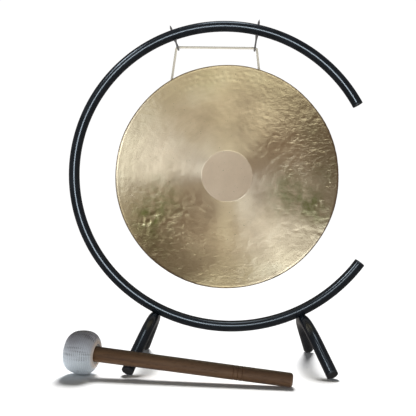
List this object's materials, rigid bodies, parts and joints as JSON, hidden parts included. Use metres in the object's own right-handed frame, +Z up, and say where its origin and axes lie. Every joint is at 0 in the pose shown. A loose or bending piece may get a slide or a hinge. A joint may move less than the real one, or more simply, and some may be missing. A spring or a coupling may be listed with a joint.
{
  "type": "tam tam gong",
  "caption": "Hammered bronze tam-tam hung by a cord from screw hooks in a C-shaped black tube ring on arched legs, with a knitted-head mallet.",
  "frame": {"origin": "the point of the floor midway between the four feet, in the plane of the ring", "axes": "+Z up; the gong's face looks towards -Y; +X to the right as seen from the front, towards the ring's open side"},
  "size_m": [0.5244, 0.3047, 0.6113],
  "materials": {
    "black_powder_coat": "gloss",
    "black_cap": "matt",
    "black_screw": "satin",
    "zinc_steel": "satin",
    "hook_steel": "satin",
    "bronze": "hammered and turned",
    "cotton_cord": "matt",
    "handle_wood": "oiled",
    "core_wood": "raw",
    "felt": "matt",
    "knit": "matt"
  },
  "bodies": {
    "stand": {"frame_tube": "black_powder_coat", "frame_cap_lower": "black_cap", "frame_cap_upper": "black_cap", "leg_left": "black_powder_coat", "foot_cap_left_front": "black_cap", "foot_cap_left_back": "black_cap", "leg_screw_left": "black_screw", "saddle_washer_left": "black_powder_coat", "thread_insert_left": "zinc_steel", "screw_hook_left": "hook_steel", "leg_right": "black_powder_coat", "foot_cap_right_front": "black_cap", "foot_cap_right_back": "black_cap", "leg_screw_right": "black_screw", "saddle_washer_right": "black_powder_coat", "thread_insert_right": "zinc_steel", "screw_hook_right": "hook_steel"},
    "cord": {"hanging_cord": "cotton_cord"},
    "gong": {"gong_disc": "bronze", "cord_knot_left": "cotton_cord", "cord_knot_right": "cotton_cord"},
    "mallet": {"mallet_handle": "handle_wood", "mallet_core": "core_wood", "mallet_padding": "felt", "mallet_cover": "knit", "mallet_tie": "cotton_cord"}
  },
  "joints": [
    {"name": "cord_swing", "type": "hinge", "parent": "stand", "child": "cord", "pos_m": [-0.09898, 0, 0.55968], "axis": [1, 0, 0.0022], "range_deg": [-25, 25]},
    {"name": "gong_tilt", "type": "hinge", "parent": "cord", "child": "gong", "pos_m": [-0.10846, 0, 0.49602], "axis": [0.9916, 0, 0.1297], "range_deg": [-18, 18]},
    {"name": "mallet_lift", "type": "slide", "parent": "stand", "child": "mallet", "axis": [0, 0, 1], "range_m": [0, 0.1]}
  ]
}
